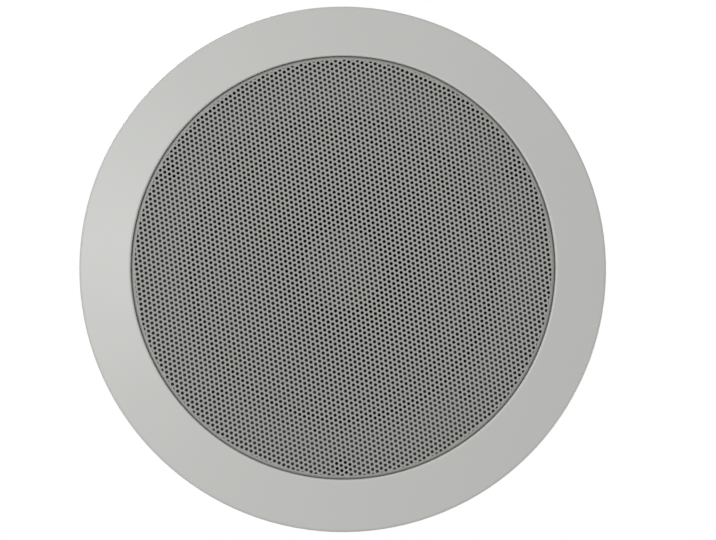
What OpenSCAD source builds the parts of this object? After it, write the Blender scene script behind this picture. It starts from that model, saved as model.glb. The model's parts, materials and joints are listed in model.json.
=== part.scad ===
// Recessed ceiling speaker: a two-way coaxial driver in a round clamp-in frame.
// Origin: centre of the flange's back face, where the frame meets the ceiling.
// +Z points up into the ceiling void, so the grille faces -Z. Millimetres.

/* [Frame] */
// Radius of the recess that the grille sits in
opening_r = 92.3; // [89:0.1:97]
// Width of the flange outside the collar
flange_w = 15; // [12:0.5:20]
// How far the inner lip stands below the ceiling
lip_drop = 8.5; // [7.5:0.1:11]
// Thickness of the flange at its outer rim
rim_t = 2.4; // [2.2:0.1:3.2]
// Radius that rounds the front edge of the rim
rim_round = 1.6; // [1:0.1:2]
// Radius that rounds the inner lip
lip_round = 0.8; // [0.4:0.1:1.2]
// Wall thickness of the moulding
wall = 2.5; // [2:0.1:3]
// Width of the trough between the recess wall and the collar
trough_w = 2.7; // [2:0.1:4]
// Height of the collar above the ceiling's face
collar_h = 10.5; // [9:0.5:13]
// Height of the baffle's front face above the ceiling's face
baffle_h = 8; // [7:0.1:10]
// Thickness of the moulded ribs
rib_t = 1.6; // [1:0.1:2.2]
// Number of ribs under the flange
flange_ribs = 18; // [12:1:24]

/* [Grille] */
// Thickness of the perforated sheet
grille_t = 0.8; // [0.6:0.1:1.2]
// How far the grille's face lies behind the lip
grille_inset = 0.7; // [0.3:0.1:1.5]
// Depth of the pressed grille, from its face to the end of its return
grille_depth = 2.6; // [2.4:0.1:3.4]
// Gap between the grille and the recess wall
grille_gap = 0.35; // [0.2:0.05:0.6]
// Outer radius of the grille's rolled edge
grille_bend = 1.5; // [1.3:0.1:2.5]
// Spacing of the perforations
hole_pitch = 8.8; // [8.4:0.2:12]
// Diameter of a perforation
hole_d = 5.2; // [3.6:0.1:6]
// Direction of the rows of perforations
row_turn = 23; // [0:1:60]
// Width of the ledge that the grille's return stands on
ledge_w = 1.8; // [1.4:0.1:2.4]

/* [Woofer] */
// Thickness of the basket's steel sheet
sheet_t = 1.1; // [0.8:0.1:1.4]
// Width of the basket's mounting rim
rim_w = 7; // [6.4:0.1:9]
// Depth from the surround's shelf to the spider's shelf
spider_depth = 31; // [29:0.5:36]
// Depth from the spider's shelf to the basket's floor
floor_depth = 11; // [10:0.5:13]
// Radius of the basket where the spider's shelf starts
shelf_r = 46.5; // [45.5:0.5:48]
// Angle taken by one spoke of the basket
spoke_angle = 18; // [12:1:26]
// Radius of the surround's half roll
roll_r = 5; // [4:0.25:5.5]
// Thickness of the surround
surround_t = 0.5; // [0.4:0.05:0.7]
// Thickness of the cone
cone_t = 0.8; // [0.6:0.1:1]
// Inner radius of the voice coil's former
former_r = 12.75; // [12:0.05:14]
// Length of the voice coil's winding
winding_h = 9.5; // [8:0.5:11]
// Thickness of the gasket ring
gasket_t = 2.1; // [1.5:0.1:2.6]
// Number of waves in the spider
spider_waves = 5; // [4:1:6]

/* [Motor] */
// Outer radius of the ferrite ring
magnet_r = 45; // [41:0.5:50]
// Height of the ferrite ring
magnet_h = 18; // [14:0.5:22]
// Outer radius of the steel plates
plate_r = 42; // [40:0.5:44]
// Thickness of the top plate
top_plate_t = 5; // [4:0.5:7]
// Thickness of the back plate
back_plate_t = 6; // [5:0.5:8]

/* [Tweeter] */
// Outer radius of the tweeter's pod
pod_r = 17.5; // [17.2:0.1:19]
// Height of the pod's front edge above the ceiling's face
pod_front = 5.5; // [4.5:0.1:7]
// Depth of the pod
pod_depth = 18.5; // [18.2:0.1:20]
// Radius of the tweeter's dome
dome_r = 10.15; // [9.6:0.05:10.4]
// Outer radius of the hollow post that carries the pod
post_r = 5; // [4.4:0.1:6]

/* [Clamps] */
// Radius of a clamp screw
clamp_screw_r = 2; // [1.6:0.05:2.2]
// Radius of a clamp screw's head
clamp_head_r = 3.6; // [3.2:0.1:4]
// Length of a clamp from its pivot to its tip
clamp_len = 27; // [24:0.5:28]
// Height of a clamp's hub
hub_h = 9; // [8:0.5:11]
// Radius of a clamp's hub
hub_r = 6; // [5.4:0.1:6.4]
// Height of the clamp towers above the ceiling's face
tower_h = 50; // [46:0.5:58]

/* [Crossover] */
// Width of the circuit board
board_w = 56; // [54:0.5:62]
// Height of the circuit board
board_h = 34; // [33:0.5:38]
// Thickness of the circuit board
board_t = 1.6; // [1.2:0.1:2]
// Radius of a terminal's push button
button_r = 2.8; // [2.4:0.1:3.1]
// Radius of a terminal's wire hole
wire_hole_r = 1.9; // [1.5:0.05:2.2]

/* [Hidden] */
$fn = 96;
glue_gap = 0.05;
fit = 0.05;
slack = 0.3;

collar_r = opening_r + wall + trough_w + wall;
flange_r = collar_r + flange_w;
recess_r = opening_r + wall;
ledge_r = opening_r - ledge_w;
lip_z = -lip_drop;
grille_z = lip_z + grille_inset;
ledge_z = grille_z + grille_depth + slack;
baffle_top = baffle_h + wall;
rib_top = baffle_top + 1.5;

clamp_circle = ledge_r - clamp_head_r - 0.9;
rim_r = clamp_circle - clamp_head_r - 2.4;
screw_circle = rim_r - rim_w / 2;
baffle_hole_r = rim_r - rim_w;
woofer_screw_r = 1.6;
woofer_head_r = 3.1;
woofer_screws_at = [45:90:315];

step_r = baffle_hole_r - 0.35;
step_in_r = step_r - sheet_t;
shelf_z = baffle_h + 1;
spider_z = shelf_z + spider_depth;
floor_z = spider_z + floor_depth;
motor_z = floor_z + sheet_t;
magnet_z = motor_z + top_plate_t;
back_z = magnet_z + magnet_h;
rear_z = back_z + back_plate_t;

former_t = 0.3;
former_out = former_r + former_t;
winding_out = former_out + 0.4;
gap_out = winding_out + 0.5;
pole_r = former_r - 0.4;
magnet_bore = gap_out + 2.2;
winding_z = motor_z + top_plate_t / 2 - winding_h / 2;

surround_out = step_in_r - 0.25;
surround_lap = 4.3;
roll_c = surround_out - surround_lap - roll_r;
cone_r = roll_c - roll_r + 1;
neck_z = spider_z - 4;
cone_segments = 10;
gasket_in = roll_c + roll_r + 0.3;

rivet_circle = shelf_r - 17.5;

pod_back = pod_front + pod_depth;
pod_wall = 1.5;
face_t = 2.6;
dome_z = pod_front + 3;
cup_r = dome_r + 3;
coil_out = dome_r + 0.15;
tweeter_gap_in = dome_r - 0.6;
tweeter_gap_out = dome_r + 0.6;
cup_back = pod_back - 2.6 - fit;
cup_t = 2;
post_bore = post_r - 2;
post_shoulder = post_r + 4;

clamp_at = [30, 150, 270];
insert_r = clamp_screw_r + 1;
clamp_top = tower_h - 1;
clamp_z = clamp_top - hub_h;
arm_w = 9;
foot_drop = 1;
tower_in = hub_r + 0.5;
tower_t = 2;
stop_len = 15;
head_h = 2.4;
cap_t = 3;

board_y = baffle_hole_r + 7;
board_z = baffle_top + 2.5;
board_back = board_y + board_t;
block_w = 30;
block_h = 17;
block_d = 11;
block_z = board_z + board_h - block_h - 1;
block_y = board_back + slack;
terminal_x = [-7.5, 7.5];
button_z = block_z + 12;
wire_z = block_z + 4.6;
button_depth = 7;
button_proud = 3.5;
pocket_y = block_y + 0.4;
pocket_d = 2.4;
cap_r = 6.5;
cap_len = 24;
choke_r = 9.5;
choke_h = 12;

lead_r = 0.9;
tinsel_r = 0.6;
tag_w = 22;
tag_t = 1.5;
lead_x = [0.6, 4.8];
lead_hole_z = board_z + 11.6;
tag_out = shelf_r + 13;
tag_leg = tag_out - 3.2;
tinsel_route = [[0, tag_leg + 1.8, spider_z + 0.3], [0, tag_out - 0.8, spider_z - 3],
    [0, tag_out - 3.5, spider_z - 7], [0, tag_out - 9.5, spider_z - 8.8], [0, shelf_r - 3.5, spider_z - 9],
    [0, shelf_r - 10.5, spider_z - 9.6], [0, 28, cone_back(28) + 0.85]];
woofer_route = [[0, board_y - slack, lead_hole_z], [0, board_y - 4.4, lead_hole_z + 1.8],
    [0, (board_y + tag_out) / 2 + 0.8, (lead_hole_z + spider_z) / 2 + 0.7], [0, tag_out + 6.5, spider_z],
    [0, tag_out + 1.5, spider_z + 4.8], [0, tag_out - 3, spider_z + 4.6]];
tweeter_route = [[0, board_y - slack, board_z + board_h - 2], [0, board_y - 8, board_z + board_h + 0.5],
    [0, magnet_r + 17, magnet_z - 1], [0, magnet_r + 8, magnet_z + 9], [0, magnet_r + 4.6, back_z + 1],
    [0, magnet_r, rear_z + 1.3], [0, magnet_r - 9, rear_z + 2.9], [0, post_r + 19, rear_z + 4.3],
    [0, post_r + 8, rear_z + 9.5], [0, post_r, rear_z + 11.5], [0, 0.4, rear_z + 8.9], [0, 0, rear_z + 2.9],
    [0, 0, magnet_z + 13], [0, 0, spider_z], [0, 0, pod_back + 2]];

black = [0.09, 0.09, 0.095];
bezel_grey = [0.72, 0.73, 0.71];
steel = [0.66, 0.67, 0.68];
zinc = [0.6, 0.61, 0.62];
brass = [0.78, 0.62, 0.3];

// Point at a radius and an angle
function polar(r, a) = [r * cos(a), r * sin(a)];
// Lower common tangent of two circles: the unit normal that both touch it along
function tangent_normal(p, rp, q, rq) =
    let (d = q - p, l = norm(d), k = (rp - rq) / l, u = d / l) k * u + sqrt(1 - k * k) * [u.y, -u.x];
// Places n copies evenly round the axis
module around(n) {
    for (i = [0:n - 1]) rotate(i * 360 / n) children();
}
// Ring of rectangular section
module ring(r_in, r_out, z0, z1) {
    rotate_extrude() translate([r_in, z0]) square([r_out - r_in, z1 - z0]);
}
// Section of a sheet that follows the points, rounded at its bends
module sheet_section(points, t) {
    for (i = [0:len(points) - 2])
        let (p = points[i], q = points[i + 1], d = (q - p) / norm(q - p), n = [-d.y, d.x] * t / 2)
            polygon([p + n, q + n, q - n, p - n]);
    for (i = [1:len(points) - 2]) translate(points[i]) circle(t / 2, $fn = 24);
}
// Wedge with its point on the axis, as wide as half to either side of +X
module wedge(r, half) {
    polygon([[0, 0], polar(r / cos(half / 2), -half), polar(r / cos(half / 2), 0),
        polar(r / cos(half / 2), half)]);
}

// Points between a route's own points, on a smooth curve through them
function route_point(p, i, t) =
    let (n = len(p) - 1, a = p[max(i - 1, 0)], b = p[i], c = p[i + 1], d = p[min(i + 2, n)])
    0.5 * (2 * b + (c - a) * t + (2 * a - 5 * b + 4 * c - d) * t * t + (3 * b - a - 3 * c + d) * t * t * t);
function smooth_route(p, k) = concat(
    [for (i = [0:len(p) - 2]) for (j = [0:k - 1]) route_point(p, i, j / k)], [p[len(p) - 1]]);
// Round lead swept along a route that stays in the YZ plane
module lead(route, r, sides = 8) {
    path = smooth_route(route, 2);
    n = len(path);
    rings = [for (i = [0:n - 1])
        let (d = path[min(i + 1, n - 1)] - path[max(i - 1, 0)], u = d / norm(d), side = [0, -u.z, u.y])
        for (j = [0:sides - 1]) path[i] + r * (cos(j * 360 / sides) * [1, 0, 0] + sin(j * 360 / sides) * side)];
    walls = [for (i = [0:n - 2]) for (j = [0:sides - 1])
        let (a = i * sides + j, b = i * sides + (j + 1) % sides) [b, a, a + sides, b + sides]];
    polyhedron(rings, concat([[for (j = [0:sides - 1]) j]],
        [[for (j = [sides - 1:-1:0]) (n - 1) * sides + j]], walls), convexity = 6);
}

// Points along an arc
function arc(c, r, a0, a1, n = 8) = [for (i = [0:n]) c + polar(r, a0 + (a1 - a0) * i / n)];
lip_c = [opening_r + lip_round, lip_z + lip_round];
rim_c = [flange_r - rim_round, rim_round - rim_t];
front_n = tangent_normal(lip_c, lip_round, rim_c, rim_round);
front_a = atan2(front_n.y, front_n.x);
// Height of the flange's front face at a radius
function flange_front(r) = let (p = lip_c + lip_round * front_n) p.y - (r - p.x) * front_n.x / front_n.y;
// Height of the flange's hollow back at a radius
function flange_back(r) = min(flange_front(r) + wall, -0.4);
groove_out = flange_r - 5;
groove_in = collar_r + wall;
// Outline of the turned frame: bezel, collar, trough, recess with its ledge, and baffle
function frame_outline() = concat(
    arc(lip_c, lip_round, -180, front_a), arc(rim_c, rim_round, front_a, 0),
    [[flange_r, -0.3], [flange_r - 0.3, 0], [groove_out, 0], [groove_out, flange_back(groove_out)],
    [groove_in, flange_back(groove_in)], [groove_in, 0], [collar_r, 0], [collar_r, collar_h],
    [collar_r - wall, collar_h], [collar_r - wall, flange_back(collar_r - wall)],
    [recess_r, flange_back(recess_r)], [recess_r, ledge_z + wall], [ledge_r + wall, ledge_z + wall],
    [ledge_r + wall, baffle_top], [baffle_hole_r + 2, baffle_top], [baffle_hole_r + 2, rib_top],
    [baffle_hole_r, rib_top], [baffle_hole_r, baffle_h], [ledge_r, baffle_h], [ledge_r, ledge_z],
    [opening_r, ledge_z]]);
// Radial rib: one part stiffens the flange, the other ties the collar to the recess wall
module flange_rib() {
    rotate([90, 0, 0]) translate([0, 0, -rib_t / 2]) linear_extrude(rib_t) {
        polygon([[groove_in - 1, flange_back(groove_in) - 1], [groove_out + 1, flange_back(groove_out) - 1],
            [groove_out + 1, -0.3], [groove_in - 1, -0.3]]);
        polygon([[recess_r - 1, flange_back(recess_r) - 1], [collar_r - 1, flange_back(collar_r) - 1],
            [collar_r - 1, collar_h - 2.5], [ledge_r + 1, collar_h - 2.5], [ledge_r + 1, ledge_z + 1],
            [recess_r - 1, ledge_z + 1]]);
    }
}
// Plan of a clamp tower: a wall behind the hub, ending in a stop for each end of the swing
module tower_plan() {
    near = arm_w / 2 + slack;
    far = near + tower_t;
    a_in = acos(near / tower_in);
    a_out = acos(far / (tower_in + tower_t));
    reach = ledge_r + wall / 2 - clamp_circle;
    polygon(concat([[-near, stop_len]], arc([0, 0], tower_in, 180 - a_in, 270 + a_in, 12),
        [[reach, -near], [reach, -far]], arc([0, 0], tower_in + tower_t, 270 + a_out, 180 - a_out, 12),
        [[-far, stop_len]]));
}
module clamp_tower() {
    translate([0, 0, baffle_top - 0.5]) linear_extrude(tower_h - baffle_top + 0.5) tower_plan();
    translate([0, 0, tower_h]) linear_extrude(cap_t) difference() {
        polygon(concat(arc([0, 0], tower_in + tower_t, 150, 300, 12),
            arc([0, 0], clamp_screw_r + 2.6, -50, 140, 10)));
        circle(clamp_screw_r + fit, $fn = 32);
    }
}
// Slotted post that holds one edge of the circuit board
module board_post() {
    slot = board_t + 2 * fit;
    translate([0, 0, baffle_top - 0.5]) linear_extrude(board_h * 0.8) difference() {
        translate([-1.6, board_y + board_t / 2 - 3.4]) square([5.2, 6.8]);
        translate([-2, board_y + board_t / 2 - slot / 2]) square([2.6, slot]);
    }
    translate([-3.4, board_y - 2.6, baffle_top - 0.5]) cube([3, 6.8, board_z - baffle_top + 0.5 - fit]);
}

module bezel_frame() {
    color(bezel_grey) difference() {
        union() {
            rotate_extrude($fn = 180) polygon(frame_outline());
            around(flange_ribs) flange_rib();
            around(12) translate([baffle_hole_r + 1, -rib_t / 2, baffle_top - 0.5])
                cube([ledge_r - baffle_hole_r, rib_t, rib_top - baffle_top + 0.2]);
            for (a = woofer_screws_at) translate(polar(screw_circle, a)) translate([0, 0, baffle_top - 0.5])
                cylinder(r = woofer_screw_r + 1.8, h = 8);
            for (a = clamp_at) rotate(a) translate([clamp_circle, 0]) mirror([0, 1, 0]) clamp_tower();
            for (s = [0, 1]) mirror([s, 0, 0]) translate([board_w / 2 - 0.5, 0]) board_post();
        }
        for (a = woofer_screws_at) translate(polar(screw_circle, a)) translate([0, 0, baffle_h - 1])
            cylinder(r = woofer_screw_r + fit, h = 8, $fn = 32);
        for (a = clamp_at) rotate(a) translate([clamp_circle, 0, baffle_h - 1])
            cylinder(r = clamp_screw_r + fit, h = rib_top - baffle_h + 2, $fn = 32);
    }
}

// Perforated sheet with a rolled edge and a return that stands on the ledge
module grille() {
    out = opening_r - grille_gap;
    flat_r = out - grille_bend;
    reach = out - 2.2 - hole_d / 2;
    steps = ceil(reach / hole_pitch * 1.2);
    color(steel) union() {
        translate([0, 0, grille_z]) linear_extrude(grille_t) difference() {
            circle(flat_r, $fn = 180);
            rotate(row_turn) for (j = [-steps:steps]) for (i = [-steps:steps])
                let (p = hole_pitch * [i + (j % 2) / 2, j * sin(60)])
                    if (norm(p) < reach) translate(p) circle(hole_d / 2, $fn = 16);
        }
        rotate_extrude($fn = 180) {
            intersection() {
                translate([flat_r, grille_z + grille_bend]) difference() {
                    circle(grille_bend);
                    circle(grille_bend - grille_t);
                }
                translate([flat_r, grille_z]) square(grille_bend);
            }
            translate([out - grille_t, grille_z + grille_bend])
                square([grille_t, grille_depth - grille_bend]);
        }
    }
}

// Window between two spokes, with rounded corners
module window_plan(r0, r1, half, round) {
    in_a = half - asin(round / (r0 + round));
    out_a = half - asin(round / (r1 - round));
    intersection() {
        difference() {
            circle(r1);
            circle(r0);
        }
        polygon([polar(r0 - 3, -in_a), polar(r0 + round, -in_a), polar(r1 - round, -out_a),
            polar(r1 * 1.2, -out_a), [r1 * 1.6, 0], polar(r1 * 1.2, out_a), polar(r1 - round, out_a),
            polar(r0 + round, in_a), polar(r0 - 3, in_a)]);
    }
    intersection() {
        difference() {
            circle(r1 - round);
            circle(r0 + round);
        }
        wedge(r1 * 1.4, half);
    }
    for (s = [-1, 1]) {
        translate(polar(r0 + round, s * in_a)) circle(round, $fn = 32);
        translate(polar(r1 - round, s * out_a)) circle(round, $fn = 32);
    }
}
wall_top = [step_in_r - 5, shelf_z + sheet_t / 2];
wall_end = [shelf_r, spider_z + sheet_t / 2];
// Pressed basket: rim, shelf for the surround, four spokes, shelf for the spider and a flat floor
module basket() {
    slope = wall_end - wall_top;
    color(black) difference() {
        union() {
            rotate_extrude($fn = 120) sheet_section([[rim_r, baffle_h - sheet_t / 2],
                [step_r - sheet_t / 2, baffle_h - sheet_t / 2], [step_r - sheet_t / 2, shelf_z + sheet_t / 2],
                wall_top, wall_end, [shelf_r - 8, spider_z + sheet_t / 2],
                [shelf_r - 9.5, floor_z + sheet_t / 2], [gap_out + 1.2, floor_z + sheet_t / 2]], sheet_t);
            for (a = woofer_screws_at) rotate(a)
                translate([wall_top.x, 0, wall_top.y] + 0.1 * [slope.x, 0, slope.y])
                    rotate([0, atan2(slope.x, slope.y), 0]) cylinder(r = 2.2, h = norm(slope) * 0.78, $fn = 32);
        }
        for (a = [0:90:270]) rotate(a) translate([0, 0, shelf_z + sheet_t + 0.3])
            linear_extrude(spider_depth - 1) window_plan(shelf_r + 3, wall_top.x - 3, 45 - spoke_angle / 2, 4);
        for (a = woofer_screws_at) translate(polar(screw_circle, a)) translate([0, 0, baffle_h - 3])
            cylinder(r = woofer_screw_r + 0.4, h = 5, $fn = 32);
        for (a = woofer_screws_at) translate(polar(rivet_circle, a)) translate([0, 0, floor_z - 2])
            cylinder(r = 2 + fit, h = 5, $fn = 32);
    }
}
module basket_rivets() {
    color(steel) for (a = woofer_screws_at) translate(polar(rivet_circle, a)) {
        translate([0, 0, floor_z - 1.2]) cylinder(r = 3.4, h = 1.2, $fn = 32);
        translate([0, 0, floor_z - 0.2]) cylinder(r = 2, h = sheet_t + 0.2, $fn = 32);
    }
}
module woofer_gasket() {
    color([0.13, 0.13, 0.13])
        ring(gasket_in, surround_out, shelf_z - surround_t - gasket_t, shelf_z - surround_t);
}
module woofer_screws() {
    color(black) for (a = woofer_screws_at) translate(polar(screw_circle, a)) {
        rotate_extrude($fn = 48) intersection() {
            translate([0, baffle_h - sheet_t + 1.6]) circle(4);
            translate([0, baffle_h - sheet_t - 2.2]) square([woofer_head_r, 2.2]);
        }
        translate([0, 0, baffle_h - sheet_t - 0.1]) cylinder(r = woofer_screw_r, h = 8, $fn = 32);
    }
}

// Shallow curved cone, from the lap that carries the surround to the neck on the former
function cone_z(s) = shelf_z + (neck_z - shelf_z) * pow(s, 1.12);
function cone_r_at(s) = cone_r - 3 + (former_out + glue_gap - cone_r + 3) * s;
// Height of the cone's back at a radius
function cone_back(r) = cone_z((cone_r - 3 - r) / (cone_r - 3 - former_out - glue_gap)) + cone_t * 1.15;
module cone() {
    steps = [for (i = [0:cone_segments]) i / cone_segments];
    front = [for (s = steps) [cone_r_at(s), cone_z(s)]];
    back = [for (i = [cone_segments:-1:0]) [cone_r_at(steps[i]), cone_z(steps[i]) + cone_t * 1.15]];
    color([0.12, 0.12, 0.125]) rotate_extrude($fn = 120)
        polygon(concat([[cone_r, shelf_z]], front, back, [[cone_r, shelf_z + cone_t]]));
}
// Half-roll rubber surround with a flat lap at each edge
module surround() {
    mid = shelf_z - surround_t / 2;
    color([0.07, 0.07, 0.07]) rotate_extrude($fn = 120) {
        intersection() {
            translate([roll_c, mid]) difference() {
                circle(roll_r + surround_t / 2);
                circle(roll_r - surround_t / 2);
            }
            translate([roll_c - 2 * roll_r, mid - 2 * roll_r]) square([4 * roll_r, 2 * roll_r]);
        }
        translate([roll_c + roll_r - surround_t / 2, shelf_z - surround_t])
            square([surround_out - roll_c - roll_r + surround_t / 2, surround_t]);
        translate([roll_c - roll_r - 2.4, shelf_z - surround_t])
            square([2.4 + surround_t / 2, surround_t]);
    }
}
// Corrugated spider: waves that fade out towards the former
module spider() {
    r0 = former_out + glue_gap;
    r1 = shelf_r - 2;
    flat = r1 - 5.5;
    n = spider_waves * 8;
    t = 0.4;
    mid = spider_z - t / 2;
    wave = [for (i = [0:n]) let (s = i / n, r = r0 + 2 + (flat - r0 - 2) * s)
        [r, mid - 1.3 + 1.3 * cos(360 * spider_waves * s)]];
    section = concat([[r0, mid - 1.5], [r0 + 0.6, mid]], wave, [[r1, mid]]);
    color([0.78, 0.62, 0.34]) rotate_extrude($fn = 96)
        polygon(concat([for (p = section) p - [0, t / 2]],
            [for (i = [len(section) - 1:-1:0]) section[i] + [0, t / 2]]));
}
module voice_coil_former() {
    color([0.76, 0.52, 0.22]) ring(former_r, former_out, neck_z - 2, winding_z + winding_h + 1.5);
}
module voice_coil() {
    color([0.72, 0.4, 0.22]) ring(former_out + glue_gap / 2, winding_out, winding_z, winding_z + winding_h);
}

module top_plate() {
    color(zinc) difference() {
        ring(gap_out, plate_r, motor_z, magnet_z);
        for (a = woofer_screws_at) translate(polar(rivet_circle, a)) translate([0, 0, motor_z - 1])
            cylinder(r = 2 + fit, h = 2.2, $fn = 32);
    }
}
module magnet() {
    color([0.17, 0.17, 0.18]) rotate_extrude($fn = 120) polygon([[magnet_bore, magnet_z],
        [magnet_r - 1, magnet_z], [magnet_r, magnet_z + 1], [magnet_r, back_z - 1], [magnet_r - 1, back_z], [magnet_bore, back_z]]);
}
// Back plate and pole in one turned piece, bored for the post
module yoke() {
    color(zinc) rotate_extrude($fn = 120) polygon([[post_r + fit, motor_z], [pole_r - 0.8, motor_z],
        [pole_r, motor_z + 0.8], [pole_r, back_z - 1.5], [pole_r + 1.5, back_z], [plate_r - 0.6, back_z],
        [plate_r, back_z + 0.6], [plate_r, rear_z - 1.2], [plate_r - 1.2, rear_z], [post_r + fit, rear_z]]);
}

// Hollow post: it clamps the pod to the pole and carries the tweeter's leads
module tweeter_post() {
    color(zinc) rotate_extrude($fn = 64) polygon([[post_bore, pod_back - 2.6], [post_shoulder, pod_back - 2.6],
        [post_shoulder, pod_back - 2 - fit], [post_r, pod_back - 2 - fit], [post_r, motor_z - 6],
        [post_shoulder - 1, motor_z - 3], [post_shoulder, motor_z - 3], [post_shoulder, motor_z],
        [post_r, motor_z], [post_r, rear_z + 7], [post_r - 0.6, rear_z + 7.6], [post_bore, rear_z + 7.6]]);
}
module post_nut() {
    color(steel) intersection() {
        translate([0, 0, rear_z]) linear_extrude(5) difference() {
            circle(post_r + 4, $fn = 6);
            circle(post_r + fit, $fn = 48);
        }
        translate([0, 0, rear_z - 1]) cylinder(r1 = post_r + 9, r2 = post_r + 2.6, h = 7, $fn = 64);
    }
}
// Cup-shaped pod with a domed back
module tweeter_housing() {
    edge = 5;
    color(black) rotate_extrude($fn = 96) difference() {
        union() {
            translate([0, pod_front + face_t]) square([pod_r, pod_depth - face_t - edge]);
            translate([0, pod_back - edge - 1]) square([pod_r - edge, edge + 1]);
            intersection() {
                translate([pod_r - edge, pod_back - edge]) circle(edge);
                translate([0, pod_back - edge - 1]) square([pod_r, edge + 1]);
            }
        }
        translate([0, pod_front]) square([pod_r - pod_wall, pod_depth - edge]);
        translate([0, pod_front]) square([cup_r + fit, pod_depth - 2.6 + fit]);
        square([post_shoulder + fit, pod_back - 2]);
        square([post_r + fit, pod_back + 1]);
        translate([pod_r - 0.8, pod_front + face_t]) square([2, 0.8]);
    }
}
// Face ring with a short flare and three guard bars over the dome
module tweeter_faceplate() {
    inner = dome_r + 2.9;
    color(black) union() {
        rotate_extrude($fn = 96) polygon([[inner, dome_z - 0.4], [inner, pod_front + 1.8],
            [inner + 1.4, pod_front], [pod_r - 0.8, pod_front], [pod_r, pod_front + 0.8],
            [pod_r, pod_front + face_t - fit], [pod_r - pod_wall - 0.3, pod_front + face_t - fit],
            [pod_r - pod_wall - 0.3, dome_z - 0.4]]);
        around(3) translate([2.2, -0.6, pod_front - 1.2]) cube([inner, 1.2, 1.2]);
        rotate_extrude($fn = 48) translate([1.4, pod_front - 1.2]) square([1.6, 1.2]);
    }
}
// Soft dome with its half-roll edge and a flat lap under the faceplate
module tweeter_dome() {
    t = 0.3;
    rise = 2.5;
    ball = (dome_r * dome_r + rise * rise) / (2 * rise);
    color([0.2, 0.2, 0.21]) rotate_extrude($fn = 96) {
        intersection() {
            translate([0, dome_z - rise + ball]) difference() {
                circle(ball, $fn = 160);
                circle(ball - t, $fn = 160);
            }
            translate([0, dome_z - rise]) square([dome_r, rise]);
        }
        intersection() {
            translate([dome_r + 1.2, dome_z]) difference() {
                circle(1.2, $fn = 32);
                circle(1.2 - t, $fn = 32);
            }
            translate([dome_r, dome_z - 2]) square([2.4, 2]);
        }
        translate([dome_r - t, dome_z - t]) square([0.6, t]);
        translate([dome_r + 2.1, dome_z - t]) square([pod_r - pod_wall - dome_r - 2.6, t]);
    }
}
module tweeter_coil() {
    color([0.72, 0.4, 0.22]) ring(dome_r - 0.2, coil_out, dome_z + fit / 2, dome_z + 6);
}
module tweeter_cup() {
    color(zinc) rotate_extrude($fn = 64) polygon([[post_bore, cup_back - cup_t],
        [tweeter_gap_out, cup_back - cup_t], [tweeter_gap_out, dome_z + 2.6], [cup_r, dome_z + 2.6],
        [cup_r, cup_back], [post_bore, cup_back]]);
}
module tweeter_magnet() {
    color(steel) ring(post_bore, tweeter_gap_in - 0.6, dome_z + 5.2, cup_back - cup_t);
}
module tweeter_pole_piece() {
    color(zinc) ring(post_bore, tweeter_gap_in, dome_z + 2.6, dome_z + 5.2);
}

// Clamp screw with a pan head on the baffle's front face
module clamp_screw(a) {
    tip = tower_h + cap_t + 2;
    color(zinc) rotate(a) translate([clamp_circle, 0]) rotate_extrude($fn = 48) {
        polygon([[0, baffle_h - 1], [clamp_screw_r, baffle_h - 1], [clamp_screw_r, tip - 1],
            [clamp_screw_r - 0.8, tip], [0, tip]]);
        intersection() {
            translate([0, baffle_h - head_h + 5]) circle(5, $fn = 96);
            translate([0, baffle_h - head_h]) square([clamp_head_r, head_h]);
        }
    }
}
module clamp_insert(a) {
    color(brass) rotate(a) translate([clamp_circle, 0])
        ring(clamp_screw_r + fit, insert_r, clamp_z + 0.4, clamp_top - 0.4);
}
// Dog-leg clamp, stowed along the frame: hub, tapered arm, rounded tip and a toothed foot
module clamp(a) {
    color(black) rotate(a) translate([clamp_circle, 0, clamp_z]) mirror([0, 1, 0]) difference() {
        union() {
            cylinder(r = hub_r, h = hub_h, $fn = 64);
            intersection() {
                rotate([90, 0, 90]) translate([0, 0, -20]) linear_extrude(40) polygon([[0, 0],
                    [clamp_len - 9, 0], [clamp_len - 8, -foot_drop], [clamp_len - 6.5, -foot_drop],
                    [clamp_len - 6, -0.2], [clamp_len - 5, -0.2], [clamp_len - 4.5, -foot_drop],
                    [clamp_len - 3, -foot_drop], [clamp_len - 2.5, -0.2], [clamp_len - 1.5, -0.2],
                    [clamp_len - 1, -foot_drop], [clamp_len, -foot_drop], [clamp_len, 3.4],
                    [hub_r + 3, hub_h - 1], [0, hub_h - 1]]);
                translate([0, 0, -5]) linear_extrude(30) {
                    polygon([[-arm_w / 2, 0], [arm_w / 2, 0], [arm_w / 2 - 0.6, clamp_len - 3],
                        [arm_w / 2 - 3, clamp_len], [3 - arm_w / 2, clamp_len],
                        [0.6 - arm_w / 2, clamp_len - 3]]);
                }
            }
        }
        translate([0, 0, -3]) cylinder(r = insert_r + fit, h = hub_h + 6, $fn = 48);
        translate([0, 0, -1]) cylinder(r = insert_r + 0.7, h = 1.3, $fn = 48);
        translate([-1.6, hub_r + 2.5, 2.4]) cube([3.2, clamp_len - hub_r - 9, hub_h]);
    }
}

module crossover_board() {
    color([0.16, 0.34, 0.2]) difference() {
        translate([-board_w / 2, board_y, board_z]) cube([board_w, board_t, board_h]);
        for (x = terminal_x) translate([x, board_y - 1, block_z + 8]) rotate([-90, 0, 0])
            cylinder(r = 0.7, h = board_t + 2, $fn = 24);
        for (x = lead_x) translate([x, board_y - 1, lead_hole_z]) rotate([-90, 0, 0])
            cylinder(r = 1, h = board_t + 2, $fn = 24);
    }
}
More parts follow.
